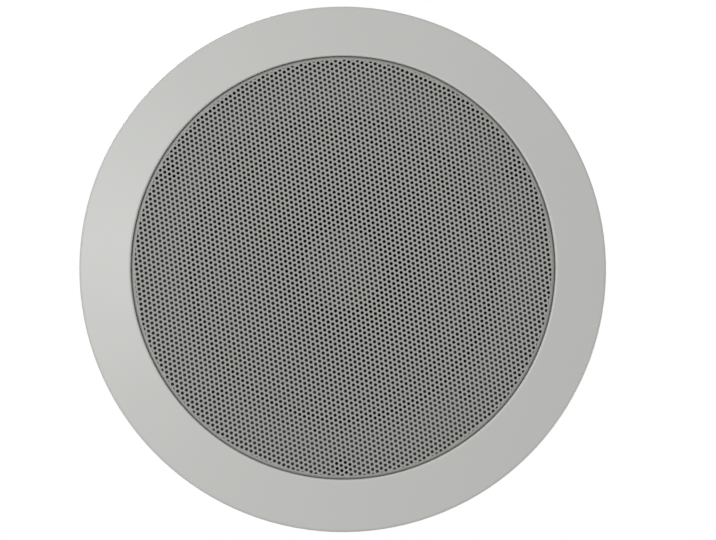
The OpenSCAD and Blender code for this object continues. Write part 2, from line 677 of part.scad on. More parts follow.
// Round can lying along the board
module capacitor() {
    color([0.15, 0.16, 0.2])
        translate([-board_w / 2 + 3, board_y - cap_r - slack, board_z + board_h - cap_r - 4])
            rotate([0, 90, 0]) rotate_extrude($fn = 64) polygon([[0, 0], [cap_r - 0.6, 0], [cap_r, 0.6], [cap_r, 2],
                [cap_r - 0.5, 2.5], [cap_r - 0.5, 3.2], [cap_r, 3.7], [cap_r, cap_len - 0.6],
                [cap_r - 0.6, cap_len], [0, cap_len]]);
}
module at_choke() {
    translate([board_w / 2 - choke_r - 3, board_y - fit, board_z + board_h / 2]) rotate([90, 0, 0]) children();
}
module choke_bobbin() {
    color(black) at_choke() rotate_extrude($fn = 64) polygon([[2, 0], [choke_r, 0], [choke_r, 1.2], [4.4, 1.2],
        [4.4, choke_h - 1.2], [choke_r, choke_h - 1.2], [choke_r, choke_h], [2, choke_h]]);
}
module choke_winding() {
    color([0.72, 0.4, 0.22]) at_choke() ring(4.4 + fit, choke_r - 1, 1.2 + fit, choke_h - 1.2 - fit);
}
module resistor() {
    color([0.85, 0.84, 0.8]) translate([-board_w / 2 + 5, board_y - 8 - slack, board_z + 3.2]) cube([20, 8, 8]);
}
// Block of two push terminals on the board's outer face
module terminal_block() {
    color(black) difference() {
        translate([-block_w / 2, block_y, block_z]) cube([block_w, block_d, block_h]);
        for (x = terminal_x) {
            translate([x, pocket_y + 1, button_z]) rotate([-90, 0, 0])
                cylinder(r = button_r + 0.1, h = block_d, $fn = 48);
            translate([x, pocket_y + 1, wire_z]) rotate([-90, 0, 0])
                cylinder(r = wire_hole_r, h = block_d, $fn = 48);
            translate([x - 2.8, pocket_y, block_z + 2]) cube([5.6, pocket_d, block_h - 3.4]);
            translate([x - 0.9, block_y - 1, block_z + 7.4]) cube([1.8, 3, 1.2]);
        }
        translate([-0.6, block_y + block_d - 1, block_z - 1]) cube([1.2, 2, block_h + 2]);
    }
}
module terminal_button(x) {
    translate([x, block_y + block_d - button_depth, button_z]) rotate([-90, 0, 0])
        rotate_extrude($fn = 48) polygon([[0, 0], [button_r - 0.6, 0], [button_r, 0.6],
            [button_r, button_depth + button_proud - 0.6],
            [button_r - 0.6, button_depth + button_proud], [0, button_depth + button_proud]]);
}
module terminal_contacts() {
    color(brass) for (x = terminal_x) {
        translate([x - 2.3, pocket_y + 0.3, block_z + 2.6]) cube([4.6, 0.5, block_h - 4.6]);
        translate([x - 0.5, board_y - 0.2, block_z + 7.6]) cube([1, pocket_y + 0.6 - board_y, 0.8]);
    }
}

// Strip on the back of the spider's shelf, with two solder tags
module tag_strip() {
    top = spider_z + sheet_t;
    color([0.42, 0.26, 0.14]) difference() {
        translate([(lead_x[0] + lead_x[1] - tag_w) / 2, shelf_r - 6, top])
            cube([tag_w, tag_out - shelf_r + 6, tag_t]);
        for (x = lead_x) translate([x, tag_leg, top - 1]) cylinder(r = 1.1, h = 5, $fn = 24);
    }
}
module solder_tags() {
    top = spider_z + sheet_t + tag_t;
    color(brass) for (x = lead_x) difference() {
        union() {
            translate([x - 1.6, tag_out - 9, top]) cube([3.2, 9, 0.6]);
            translate([x, tag_leg, top - tag_t - 0.8]) cylinder(r = 1, h = tag_t + 1, $fn = 24);
        }
        translate([x, tag_out - 7, top - 1]) cylinder(r = 0.8, h = 3, $fn = 24);
    }
}
module tinsel_leads() {
    color([0.75, 0.6, 0.42]) for (x = lead_x) translate([x, 0, 0]) lead(tinsel_route, tinsel_r);
}
module woofer_leads() {
    color([0.6, 0.1, 0.1]) for (x = lead_x) translate([x, 0, 0]) lead(woofer_route, lead_r);
}
module tweeter_leads() {
    color([0.1, 0.1, 0.12]) for (x = [-1.05, 1.05]) translate([x, 0, 0]) lead(tweeter_route, lead_r);
}

bezel_frame();
grille();
basket();
basket_rivets();
woofer_gasket();
woofer_screws();
cone();
surround();
spider();
voice_coil_former();
voice_coil();
top_plate();
magnet();
yoke();
tweeter_post();
post_nut();
tweeter_housing();
tweeter_faceplate();
tweeter_dome();
tweeter_coil();
tweeter_cup();
tweeter_magnet();
tweeter_pole_piece();
clamp_screw(clamp_at[0]);  // clamp_screw_a
clamp_screw(clamp_at[1]);  // clamp_screw_b
clamp_screw(clamp_at[2]);  // clamp_screw_c
clamp_insert(clamp_at[0]);  // clamp_insert_a
clamp_insert(clamp_at[1]);  // clamp_insert_b
clamp_insert(clamp_at[2]);  // clamp_insert_c
clamp(clamp_at[0]);  // clamp_a
clamp(clamp_at[1]);  // clamp_b
clamp(clamp_at[2]);  // clamp_c
crossover_board();
capacitor();
choke_bobbin();
choke_winding();
resistor();
terminal_block();
color([0.7, 0.1, 0.1]) terminal_button(terminal_x[0]);  // terminal_button_red
color(black) terminal_button(terminal_x[1]);  // terminal_button_black
terminal_contacts();
tag_strip();
solder_tags();
tinsel_leads();
woofer_leads();
tweeter_leads();
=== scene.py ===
# Recessed ceiling speaker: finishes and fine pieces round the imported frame. Metres, +Z up into the ceiling
import json
import math
import bpy
import numpy as np
from mathutils import Matrix, Vector


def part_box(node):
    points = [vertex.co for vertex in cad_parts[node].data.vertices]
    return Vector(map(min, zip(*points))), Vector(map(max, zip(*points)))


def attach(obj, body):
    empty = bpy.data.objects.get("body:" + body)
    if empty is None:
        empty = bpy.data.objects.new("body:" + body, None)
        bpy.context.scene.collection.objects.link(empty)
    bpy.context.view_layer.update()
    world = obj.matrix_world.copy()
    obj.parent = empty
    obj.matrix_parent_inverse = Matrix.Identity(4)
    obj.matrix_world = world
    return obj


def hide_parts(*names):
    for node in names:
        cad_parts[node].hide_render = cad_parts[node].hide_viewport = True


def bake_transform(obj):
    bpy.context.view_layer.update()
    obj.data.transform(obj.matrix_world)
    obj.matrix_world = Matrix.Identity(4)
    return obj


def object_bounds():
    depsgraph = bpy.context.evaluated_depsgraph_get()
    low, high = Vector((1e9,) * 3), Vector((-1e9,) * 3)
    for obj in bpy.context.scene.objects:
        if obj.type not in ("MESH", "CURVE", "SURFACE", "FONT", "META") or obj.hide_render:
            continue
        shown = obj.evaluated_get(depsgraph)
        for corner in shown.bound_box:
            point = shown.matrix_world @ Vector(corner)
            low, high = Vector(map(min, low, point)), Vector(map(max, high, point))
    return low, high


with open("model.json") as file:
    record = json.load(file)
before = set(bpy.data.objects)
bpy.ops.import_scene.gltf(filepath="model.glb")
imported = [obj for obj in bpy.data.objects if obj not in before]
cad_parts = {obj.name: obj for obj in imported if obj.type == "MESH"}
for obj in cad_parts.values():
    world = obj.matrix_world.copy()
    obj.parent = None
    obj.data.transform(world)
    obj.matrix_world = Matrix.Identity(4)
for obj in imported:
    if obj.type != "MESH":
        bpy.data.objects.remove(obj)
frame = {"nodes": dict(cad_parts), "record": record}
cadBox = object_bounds()
mm = 0.001
body = "speaker_body"
print("frame loaded:", len(frame["nodes"]), "nodes")


# The two corners of a node's box
def low(node):
    return np.array(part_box(node)[0])


def high(node):
    return np.array(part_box(node)[1])


# Camera below the ceiling, looking up, a few degrees off the axis; lens and shift set the photo's framing
shot = dict(distance=1.5, tilt=4.0, pan=1.0, rimRadius=0.115, rimPixels=263.3, width=716, height=540,
            centre=(343.0, 268.1))


def buildCamera(s):
    data = bpy.data.cameras.new("camera")
    cam = bpy.data.objects.new("camera", data)
    bpy.context.scene.collection.objects.link(cam)
    tilt, pan = math.radians(s["tilt"]), math.radians(s["pan"])
    back = Vector((math.sin(pan), -math.sin(tilt), -math.cos(tilt))).normalized()
    cam.location = back * s["distance"]
    cam.rotation_mode = "QUATERNION"
    right = Vector((0, 1, 0)).cross(back).normalized()
    cam.rotation_quaternion = Matrix((right, back.cross(right), back)).transposed().to_quaternion()
    data.sensor_width = 36
    data.lens = 36 * (s["rimPixels"] / s["rimRadius"]) * s["distance"] / s["width"]
    data.shift_x = (s["width"] / 2 - s["centre"][0]) / s["width"]
    data.shift_y = (s["centre"][1] - s["height"] / 2) / s["width"]
    bpy.context.scene.camera = cam


buildCamera(shot)

# Soft lamps as place, size and power: one left of the photo's view, a wide one in front, two for the back
lamps = dict(
    key=((0.95, 0.2, -1.2), 0.9, 9),
    front=((-0.3, 0.0, -1.6), 1.3, 5.6),
    above=((0.6, 0.9, 1.4), 1.0, 16),
    behind=((-1.2, -0.6, 0.9), 0.8, 7))


def buildLamp(name, at, size, power):
    data = bpy.data.lights.new(name, "AREA")
    data.shape, data.size, data.energy = "DISK", size, power
    lamp = bpy.data.objects.new(name, data)
    lamp.location = at
    lamp.rotation_mode = "QUATERNION"
    lamp.rotation_quaternion = Vector(at).to_track_quat("Z", "Y")
    bpy.context.scene.collection.objects.link(lamp)


for name, (at, size, power) in lamps.items():
    buildLamp(name, at, size, power)


# White world that cameras and gloss see in full, while it lights the surfaces only softly
def buildWorld(soft=0.42):
    world = bpy.data.worlds.new("studio")
    bpy.context.scene.world = world
    world.use_nodes = True
    nodes, links = world.node_tree.nodes, world.node_tree.links
    background = nodes["Background"]
    path = nodes.new("ShaderNodeLightPath")
    seen = nodes.new("ShaderNodeMath")
    seen.operation = "MAXIMUM"
    links.new(path.outputs["Is Camera Ray"], seen.inputs[0])
    links.new(path.outputs["Is Transmission Ray"], seen.inputs[1])
    either = nodes.new("ShaderNodeMath")
    either.operation = "MAXIMUM"
    links.new(seen.outputs[0], either.inputs[0])
    links.new(path.outputs["Is Glossy Ray"], either.inputs[1])
    level = nodes.new("ShaderNodeMapRange")
    level.inputs["To Min"].default_value = soft
    level.inputs["To Max"].default_value = 1.0
    links.new(either.outputs[0], level.inputs["Value"])
    links.new(level.outputs[0], background.inputs["Strength"])
    background.inputs["Color"].default_value = (1, 1, 1, 1)


buildWorld()
bpy.context.scene.view_settings.view_transform = "Standard"


# Floor under the bezel's lip: it shows from above only, so the speaker is seen from below through it
def buildFloor(reach=3, gap=0.2 * mm):
    z = float(cadBox[0][2]) - gap
    mesh = bpy.data.meshes.new("floor")
    corners = [(-reach, -reach, z), (reach, -reach, z), (reach, reach, z), (-reach, reach, z)]
    mesh.from_pydata(corners, [], [(0, 1, 2, 3)])
    floor = bpy.data.objects.new("floor", mesh)
    bpy.context.scene.collection.objects.link(floor)
    material = bpy.data.materials.new("paleFloor")
    material.use_nodes = True
    nodes, links = material.node_tree.nodes, material.node_tree.links
    shader = nodes["Principled BSDF"]
    shader.inputs["Base Color"].default_value = (0.82, 0.82, 0.81, 1)
    shader.inputs["Roughness"].default_value = 0.8
    clear = nodes.new("ShaderNodeBsdfTransparent")
    side = nodes.new("ShaderNodeNewGeometry")
    mix = nodes.new("ShaderNodeMixShader")
    links.new(side.outputs["Backfacing"], mix.inputs[0])
    links.new(shader.outputs[0], mix.inputs[1])
    links.new(clear.outputs[0], mix.inputs[2])
    links.new(mix.outputs[0], nodes["Material Output"].inputs["Surface"])
    mesh.materials.append(material)
    floor.visible_shadow = False
    floor.visible_diffuse = False
    floor.visible_glossy = False
    floor.visible_transmission = False


buildFloor()


# Shared effects, as node groups that put out colours, roughness and normals
def newGroup(name, inputs, outputs):
    group = bpy.data.node_groups.new(name, "ShaderNodeTree")
    for label, kind, value in inputs:
        socket = group.interface.new_socket(label, in_out="INPUT", socket_type=kind)
        socket.default_value = value
    for label, kind in outputs:
        group.interface.new_socket(label, in_out="OUTPUT", socket_type=kind)
    return group, group.nodes.new("NodeGroupInput"), group.nodes.new("NodeGroupOutput")


def add(tree, kind, **values):
    node = tree.nodes.new(kind)
    for key, value in values.items():
        setattr(node, key, value)
    return node


def join(tree, source, target):
    tree.links.new(source, target)


def objectPoints(tree):
    return add(tree, "ShaderNodeTexCoord").outputs["Object"]


# Moulded or sprayed skin: two sizes of noise lift and lower the tone, the roughness and the surface
def makeSkin():
    group, start, end = newGroup("mouldedSkin",
        [("Color", "NodeSocketColor", (0.5, 0.5, 0.5, 1)), ("Grain", "NodeSocketFloat", 2500.0),
         ("Depth", "NodeSocketFloat", 0.2), ("Mottle", "NodeSocketFloat", 0.05),
         ("Gloss", "NodeSocketFloat", 0.4)],
        [("Color", "NodeSocketColor"), ("Roughness", "NodeSocketFloat"), ("Normal", "NodeSocketVector")])
    points = objectPoints(group)
    fine = add(group, "ShaderNodeTexNoise")
    fine.inputs["Detail"].default_value = 3
    join(group, points, fine.inputs["Vector"])
    join(group, start.outputs["Grain"], fine.inputs["Scale"])
    broad = add(group, "ShaderNodeTexNoise")
    broad.inputs["Scale"].default_value = 26
    broad.inputs["Detail"].default_value = 5
    join(group, points, broad.inputs["Vector"])
    mixed = add(group, "ShaderNodeMath", operation="ADD")
    join(group, fine.outputs["Fac"], mixed.inputs[0])
    join(group, broad.outputs["Fac"], mixed.inputs[1])
    centred = add(group, "ShaderNodeMath", operation="SUBTRACT")
    join(group, mixed.outputs[0], centred.inputs[0])
    centred.inputs[1].default_value = 1.0
    spread = add(group, "ShaderNodeMath", operation="MULTIPLY_ADD")
    join(group, centred.outputs[0], spread.inputs[0])
    join(group, start.outputs["Mottle"], spread.inputs[1])
    spread.inputs[2].default_value = 1.0
    tone = add(group, "ShaderNodeVectorMath", operation="SCALE")
    join(group, start.outputs["Color"], tone.inputs[0])
    join(group, spread.outputs[0], tone.inputs["Scale"])
    join(group, tone.outputs[0], end.inputs["Color"])
    rough = add(group, "ShaderNodeMath", operation="MULTIPLY_ADD", use_clamp=True)
    join(group, centred.outputs[0], rough.inputs[0])
    rough.inputs[1].default_value = 0.12
    join(group, start.outputs["Gloss"], rough.inputs[2])
    join(group, rough.outputs[0], end.inputs["Roughness"])
    bump = add(group, "ShaderNodeBump")
    bump.inputs["Distance"].default_value = 0.00005
    join(group, start.outputs["Depth"], bump.inputs["Strength"])
    join(group, fine.outputs["Fac"], bump.inputs["Height"])
    join(group, bump.outputs[0], end.inputs["Normal"])
    return group


# Turned metal: fine rings round the axis, from the sine of the radius, with noise as bright spangle
def makeTurned():
    group, start, end = newGroup("turnedMetal",
        [("Color", "NodeSocketColor", (0.6, 0.6, 0.6, 1)), ("Rings", "NodeSocketFloat", 9000.0),
         ("Depth", "NodeSocketFloat", 0.15), ("Gloss", "NodeSocketFloat", 0.3)],
        [("Color", "NodeSocketColor"), ("Roughness", "NodeSocketFloat"), ("Normal", "NodeSocketVector")])
    points = objectPoints(group)
    flat = add(group, "ShaderNodeVectorMath", operation="MULTIPLY")
    flat.inputs[1].default_value = (1, 1, 0)
    join(group, points, flat.inputs[0])
    radius = add(group, "ShaderNodeVectorMath", operation="LENGTH")
    join(group, flat.outputs[0], radius.inputs[0])
    phase = add(group, "ShaderNodeMath", operation="MULTIPLY")
    join(group, radius.outputs["Value"], phase.inputs[0])
    join(group, start.outputs["Rings"], phase.inputs[1])
    wave = add(group, "ShaderNodeMath", operation="SINE")
    join(group, phase.outputs[0], wave.inputs[0])
    spangle = add(group, "ShaderNodeTexNoise")
    spangle.inputs["Scale"].default_value = 180
    spangle.inputs["Detail"].default_value = 6
    join(group, points, spangle.inputs["Vector"])
    height = add(group, "ShaderNodeMath", operation="MULTIPLY_ADD")
    join(group, wave.outputs[0], height.inputs[0])
    height.inputs[1].default_value = 0.3
    join(group, spangle.outputs["Fac"], height.inputs[2])
    bump = add(group, "ShaderNodeBump")
    bump.inputs["Distance"].default_value = 0.00004
    join(group, start.outputs["Depth"], bump.inputs["Strength"])
    join(group, height.outputs[0], bump.inputs["Height"])
    join(group, bump.outputs[0], end.inputs["Normal"])
    shade = add(group, "ShaderNodeMapRange")
    shade.inputs["To Min"].default_value = 0.8
    shade.inputs["To Max"].default_value = 1.15
    join(group, spangle.outputs["Fac"], shade.inputs["Value"])
    tone = add(group, "ShaderNodeVectorMath", operation="SCALE")
    join(group, start.outputs["Color"], tone.inputs[0])
    join(group, shade.outputs[0], tone.inputs["Scale"])
    join(group, tone.outputs[0], end.inputs["Color"])
    rough = add(group, "ShaderNodeMath", operation="MULTIPLY_ADD", use_clamp=True)
    join(group, spangle.outputs["Fac"], rough.inputs[0])
    rough.inputs[1].default_value = 0.25
    join(group, start.outputs["Gloss"], rough.inputs[2])
    join(group, rough.outputs[0], end.inputs["Roughness"])
    return group


# Woven cloth: the product of two crossed waves along X and Y
def makeWeave():
    group, start, end = newGroup("wovenCloth",
        [("Color", "NodeSocketColor", (0.5, 0.4, 0.2, 1)), ("Threads", "NodeSocketFloat", 7000.0),
         ("Depth", "NodeSocketFloat", 0.5)],
        [("Color", "NodeSocketColor"), ("Normal", "NodeSocketVector")])
    parts = add(group, "ShaderNodeSeparateXYZ")
    join(group, objectPoints(group), parts.inputs[0])
    waves = []
    for axis in ("X", "Y"):
        phase = add(group, "ShaderNodeMath", operation="MULTIPLY")
        join(group, parts.outputs[axis], phase.inputs[0])
        join(group, start.outputs["Threads"], phase.inputs[1])
        wave = add(group, "ShaderNodeMath", operation="SINE")
        join(group, phase.outputs[0], wave.inputs[0])
        waves.append(wave)
    cross = add(group, "ShaderNodeMath", operation="MULTIPLY")
    join(group, waves[0].outputs[0], cross.inputs[0])
    join(group, waves[1].outputs[0], cross.inputs[1])
    bump = add(group, "ShaderNodeBump")
    bump.inputs["Distance"].default_value = 0.00012
    join(group, start.outputs["Depth"], bump.inputs["Strength"])
    join(group, cross.outputs[0], bump.inputs["Height"])
    join(group, bump.outputs[0], end.inputs["Normal"])
    shade = add(group, "ShaderNodeMapRange")
    shade.inputs["From Min"].default_value = -1
    shade.inputs["To Min"].default_value = 0.72
    shade.inputs["To Max"].default_value = 1.12
    join(group, cross.outputs[0], shade.inputs["Value"])
    tone = add(group, "ShaderNodeVectorMath", operation="SCALE")
    join(group, start.outputs["Color"], tone.inputs[0])
    join(group, shade.outputs[0], tone.inputs["Scale"])
    join(group, tone.outputs[0], end.inputs["Color"])
    return group


skin, turnedMetal, weave = makeSkin(), makeTurned(), makeWeave()


def finishMaterial(name, group, values, fixed):
    material = bpy.data.materials.new(name)
    material.use_nodes = True
    tree = material.node_tree
    shader = tree.nodes["Principled BSDF"]
    effect = add(tree, "ShaderNodeGroup", node_tree=group)
    for label, value in values.items():
        effect.inputs[label].default_value = value
    join(tree, effect.outputs["Color"], shader.inputs["Base Color"])
    join(tree, effect.outputs["Normal"], shader.inputs["Normal"])
    if "Roughness" in effect.outputs:
        join(tree, effect.outputs["Roughness"], shader.inputs["Roughness"])
    for label, value in fixed.items():
        shader.inputs[label].default_value = value
    return material


# Painted shade inside the recess, on the baffle's front and the clamp screws' heads: black where the radius
# and the height are both under two limits
def paintedRecessShade(material, radius=0.0907, height=0.0094, black=(0.02, 0.02, 0.021, 1)):
    tree = material.node_tree
    shader = tree.nodes["Principled BSDF"]
    source = shader.inputs["Base Color"].links[0].from_socket
    points = objectPoints(tree)
    flat = add(tree, "ShaderNodeVectorMath", operation="MULTIPLY")
    flat.inputs[1].default_value = (1, 1, 0)
    join(tree, points, flat.inputs[0])
    reach = add(tree, "ShaderNodeVectorMath", operation="LENGTH")
    join(tree, flat.outputs[0], reach.inputs[0])
    near = add(tree, "ShaderNodeMath", operation="LESS_THAN")
    near.inputs[1].default_value = radius
    join(tree, reach.outputs["Value"], near.inputs[0])
    parts = add(tree, "ShaderNodeSeparateXYZ")
    join(tree, points, parts.inputs[0])
    under = add(tree, "ShaderNodeMath", operation="LESS_THAN")
    under.inputs[1].default_value = height
    join(tree, parts.outputs["Z"], under.inputs[0])
    both = add(tree, "ShaderNodeMath", operation="MULTIPLY")
    join(tree, near.outputs[0], both.inputs[0])
    join(tree, under.outputs[0], both.inputs[1])
    # Painted shade: black mixed over the finish's own colour inside the recess
    mix = add(tree, "ShaderNodeMix", data_type="RGBA")
    join(tree, both.outputs[0], mix.inputs["Factor"])
    join(tree, source, mix.inputs[6])
    mix.inputs[7].default_value = black
    join(tree, mix.outputs[2], shader.inputs["Base Color"])
    return material


def skinMaterial(name, color, gloss, grain=2500, depth=0.2, mottle=0.05, **fixed):
    values = dict(Color=(*color, 1), Grain=grain, Depth=depth, Mottle=mottle, Gloss=gloss)
    return finishMaterial(name, skin, values, fixed)


def metalMaterial(name, color, gloss, rings=9000, depth=0.15):
    return finishMaterial(name, turnedMetal, dict(Color=(*color, 1), Rings=rings, Depth=depth, Gloss=gloss),
                          {"Metallic": 1.0})


def clothMaterial(name, color, threads, depth=0.5, roughness=0.85):
    return finishMaterial(name, weave, dict(Color=(*color, 1), Threads=threads, Depth=depth),
                          {"Roughness": roughness})


finish = dict(
    # The bezel and zinc finishes carry painted shade inside the recess, black under the grille
    bezel_plastic=paintedRecessShade(skinMaterial("bezelPlastic", (0.56, 0.568, 0.545), 0.42, 3200, 0.12, 0.02)),
    grille_steel=skinMaterial("grillePowderCoat", (0.32, 0.326, 0.306), 0.5, 5200, 0.35, 0.06),
    basket_steel=skinMaterial("basketPowderCoat", (0.022, 0.022, 0.024), 0.42, 3600, 0.5, 0.2),
    zinc_steel=paintedRecessShade(metalMaterial("zincPlate", (0.58, 0.59, 0.6), 0.2)),
    ferrite=skinMaterial("ferriteRing", (0.045, 0.045, 0.048), 0.5, 1500, 0.7, 0.35),
    neodymium=metalMaterial("nickelPlate", (0.66, 0.65, 0.62), 0.12),
    cone_fibre=skinMaterial("conePolymer", (0.018, 0.018, 0.02), 0.36, 1800, 0.25, 0.2),
    rubber=skinMaterial("surroundRubber", (0.016, 0.016, 0.016), 0.55, 2600, 0.2, 0.15),
    spider_cloth=clothMaterial("spiderCloth", (0.62, 0.4, 0.13), 6500, 0.7),
    former_film=skinMaterial("formerFilm", (0.42, 0.2, 0.04), 0.28, 900, 0.1, 0.1),
    copper=metalMaterial("enamelledCopper", (0.62, 0.25, 0.1), 0.22, 20000),
    black_plastic=skinMaterial("blackPlastic", (0.02, 0.02, 0.021), 0.45, 3400, 0.4, 0.15),
    red_plastic=skinMaterial("redPlastic", (0.42, 0.02, 0.015), 0.38, 3400, 0.2, 0.08),
    dome_silk=clothMaterial("domeSilk", (0.05, 0.05, 0.055), 9000, 0.4, 0.6),
    brass=metalMaterial("brassTurned", (0.7, 0.5, 0.2), 0.22),
    circuit_board=skinMaterial("solderMask", (0.025, 0.14, 0.05), 0.3, 1200, 0.15, 0.25),
    capacitor_sleeve=skinMaterial("sleeve", (0.02, 0.025, 0.05), 0.22, 700, 0.1, 0.1),
    ceramic=skinMaterial("ceramic", (0.68, 0.66, 0.6), 0.8, 2200, 1.0, 0.12),
    phenolic=skinMaterial("phenolic", (0.2, 0.085, 0.03), 0.4, 800, 0.3, 0.35),
    lead_red=skinMaterial("leadRed", (0.4, 0.015, 0.012), 0.32, 1500, 0.1, 0.05),
    lead_black=skinMaterial("leadBlack", (0.02, 0.02, 0.022), 0.32, 1500, 0.1, 0.05),
    tinsel=clothMaterial("tinselBraid", (0.5, 0.32, 0.16), 9000, 1.0, 0.5),
)
slotOf = {s["node"]: s["material_slot"] for s in frame["record"]["subparts"]}
for node, piece in frame["nodes"].items():
    for holder in piece.material_slots or ():
        holder.material = finish[slotOf[node]]
print("finishes:", len(finish))


# Pieces: each is a mesh in the frame's own coordinates that rides on a body and may replace a node
def place(name, mesh, slot, rides=body, stands=(), smooth=True):
    piece = bpy.data.objects.new(name, mesh)
    bpy.context.scene.collection.objects.link(piece)
    mesh.materials.append(finish[slot])
    if smooth:
        mesh.shade_smooth()
        mesh.set_sharp_from_angle(angle=math.radians(38))
    if rides:
        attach(piece, rides)
    if stands:
        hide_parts(*stands)
    return piece


def meshOf(name, points, faces):
    mesh = bpy.data.meshes.new(name)
    points = np.asarray(points, float).reshape(-1, 3).tolist()
    mesh.from_pydata(points, [], [list(map(int, face)) for face in faces])
    mesh.validate()
    return mesh


# One mesh of several parts, each with its own points and faces
def joinedMesh(name, parts):
    points, faces, first = [], [], 0
    for own, sides in parts:
        points.append(own)
        faces += [[v + first for v in side] for side in sides]
        first += len(own)
    return meshOf(name, np.vstack(points), faces)


# Quads of a grid of m by n points; either direction may close on itself
def gridFaces(m, n, closeM=False, closeN=False):
    i, j = np.meshgrid(np.arange(m if closeM else m - 1), np.arange(n if closeN else n - 1), indexing="ij")
    i, j = i.ravel(), j.ravel()
    corners = ((i, j), (i + 1, j), (i + 1, j + 1), (i, j + 1))
    return np.stack([(a % m) * n + b % n for a, b in corners], 1)


# A closed profile of (radius, height) turned about the Z axis: x = r cos a, y = r sin a
def turned(profile, count):
    profile = np.asarray(profile, float)
    angle = np.linspace(0, 2 * np.pi, count, endpoint=False)[:, None]
    r, z = profile[None, :, 0], profile[None, :, 1]
    points = np.stack([r * np.cos(angle), r * np.sin(angle), z + 0 * angle], -1)
    faces = gridFaces(count, len(profile), True, True)
    r, z = profile.T
    area = np.sum(r * np.roll(z, -1) - np.roll(r, -1) * z)  # the sign says which way the profile runs
    return points.reshape(-1, 3), faces if area > 0 else faces[:, ::-1]


def turnedMesh(name, profile, count):
    return meshOf(name, *turned(profile, count))


# A route's own points, rounded by the curve through them that the solids use
def smoothRoute(points, steps=8):
    p = np.asarray(points, float)
    a, b, c, d = (p[np.clip(np.arange(len(p) - 1) + k, 0, len(p) - 1)][:, None] for k in (-1, 0, 1, 2))
    t = (np.arange(steps) / steps)[None, :, None]
    bend, twist = 2 * a - 5 * b + 4 * c - d, 3 * b - a - 3 * c + d
    curve = 0.5 * (2 * b + (c - a) * t + bend * t ** 2 + twist * t ** 3)
    return np.vstack([curve.reshape(-1, 3), p[-1:]])


# Tube round a route in one plane with normal N: ring = cos a * N + sin a * (N across the tangent)
def tubeParts(path, radius, sides, normal):
    normal = np.array(normal)
    tangent = np.gradient(path, axis=0)
    tangent /= np.linalg.norm(tangent, axis=1)[:, None]
    across = np.cross(normal, tangent)
    a = np.linspace(0, 2 * np.pi, sides, endpoint=False)[None, :, None]
    rings = path[:, None] + radius * (np.cos(a) * normal + np.sin(a) * across[:, None])
    faces = gridFaces(len(path), sides, False, True).tolist()
    last = (len(path) - 1) * sides
    startCap = list(range(sides))
    endCap = list(range(last + sides - 1, last - 1, -1))
    return rings.reshape(-1, 3), faces + [startCap, endCap]


def tubesMesh(name, paths, radius, sides, normal=(1.0, 0, 0)):
    return joinedMesh(name, [tubeParts(path, radius, sides, normal) for path in paths])


# Soft pieces that are held at one edge and carried at the other: their placement is baked into the mesh
def stretch(piece, weights):
    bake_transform(piece)


def easeBetween(x, start, end):
    t = np.clip((x - start) / (end - start), 0, 1)
    return t * t * (3 - 2 * t)


def coordinates(mesh):
    flat = np.empty(len(mesh.vertices) * 3, np.float32)
    mesh.vertices.foreach_get("co", flat)
    return flat.reshape(-1, 3).astype(float)


# Perforated grille: sites S(i, j) = i a + j b of a hexagonal lattice, each a six-sided hole whose sides
# face its neighbours, so a strand is one quad and the place where three strands meet is one triangle.
# Holes are real as far as their middle is within flat - hole + past of the axis
grille = dict(pitch=2.19 * mm, hole=0.8 * mm, past=1.3 * mm, turn=math.radians(23), bend=1.3 * mm,
              sheet=0.8 * mm, lap=0.02 * mm, arc=6, round=360)


def gridOfHoles(g, flat):
    angle = g["turn"] + np.array([0, math.pi / 3])
    step = np.stack([np.cos(angle), np.sin(angle)], 1)
    n = int(flat / g["pitch"] * 1.2) + 3  # rows lie 0.87 of a pitch apart, so 1.2 covers the disc
    i, j = np.meshgrid(np.arange(-n, n + 1), np.arange(-n, n + 1), indexing="ij")
    sites = g["pitch"] * (i[..., None] * step[0] + j[..., None] * step[1])
    return sites, np.hypot(sites[..., 0], sites[..., 1])


# The same array seen from the neighbour at (i, j)
def neighbour(array, i, j):
    return np.roll(array, (-i, -j), (0, 1))


def latticeFaces(g, flat):
    sites, far = gridOfHoles(g, flat)
    used = far < flat + 1.8 * g["pitch"]
    real = far < flat - g["hole"] + g["past"]
    a = g["turn"] + math.pi / 6 + np.arange(6) * math.pi / 3
    corners = sites[:, :, None] + g["hole"] * np.stack([np.cos(a), np.sin(a)], 1)
    n = sites.shape[0]
    index = np.arange(n * n * 6).reshape(n, n, 6)
    inside = np.zeros_like(used)
    inside[1:-1, 1:-1] = True
    faces = []
    for m, away in enumerate(((1, 0), (0, 1), (-1, 1))):
        keep = used & neighbour(used, *away) & inside
        other = neighbour(index, *away)
        strand = (index[..., (m - 1) % 6], other[..., (m + 3) % 6], other[..., (m + 2) % 6], index[..., m])
        faces += np.stack(strand, -1)[keep].tolist()
    for one, two, (r, s, t) in (((1, 0), (0, 1), (0, 2, 4)), ((0, 1), (-1, 1), (1, 3, 5))):
        keep = used & neighbour(used, *one) & neighbour(used, *two) & inside
        meeting = (index[..., r], neighbour(index, *one)[..., s], neighbour(index, *two)[..., t])
        faces += np.stack(meeting, -1)[keep].tolist()
    faces += index[used & ~real].tolist()
    points = corners.reshape(-1, 2)
    reach = np.hypot(points[:, 0], points[:, 1])
    beyond = reach > flat
    points[beyond] *= (flat / reach[beyond])[:, None]
    faces = [face for face in faces if not beyond[face].all()]
    return points, faces, int(real.sum())


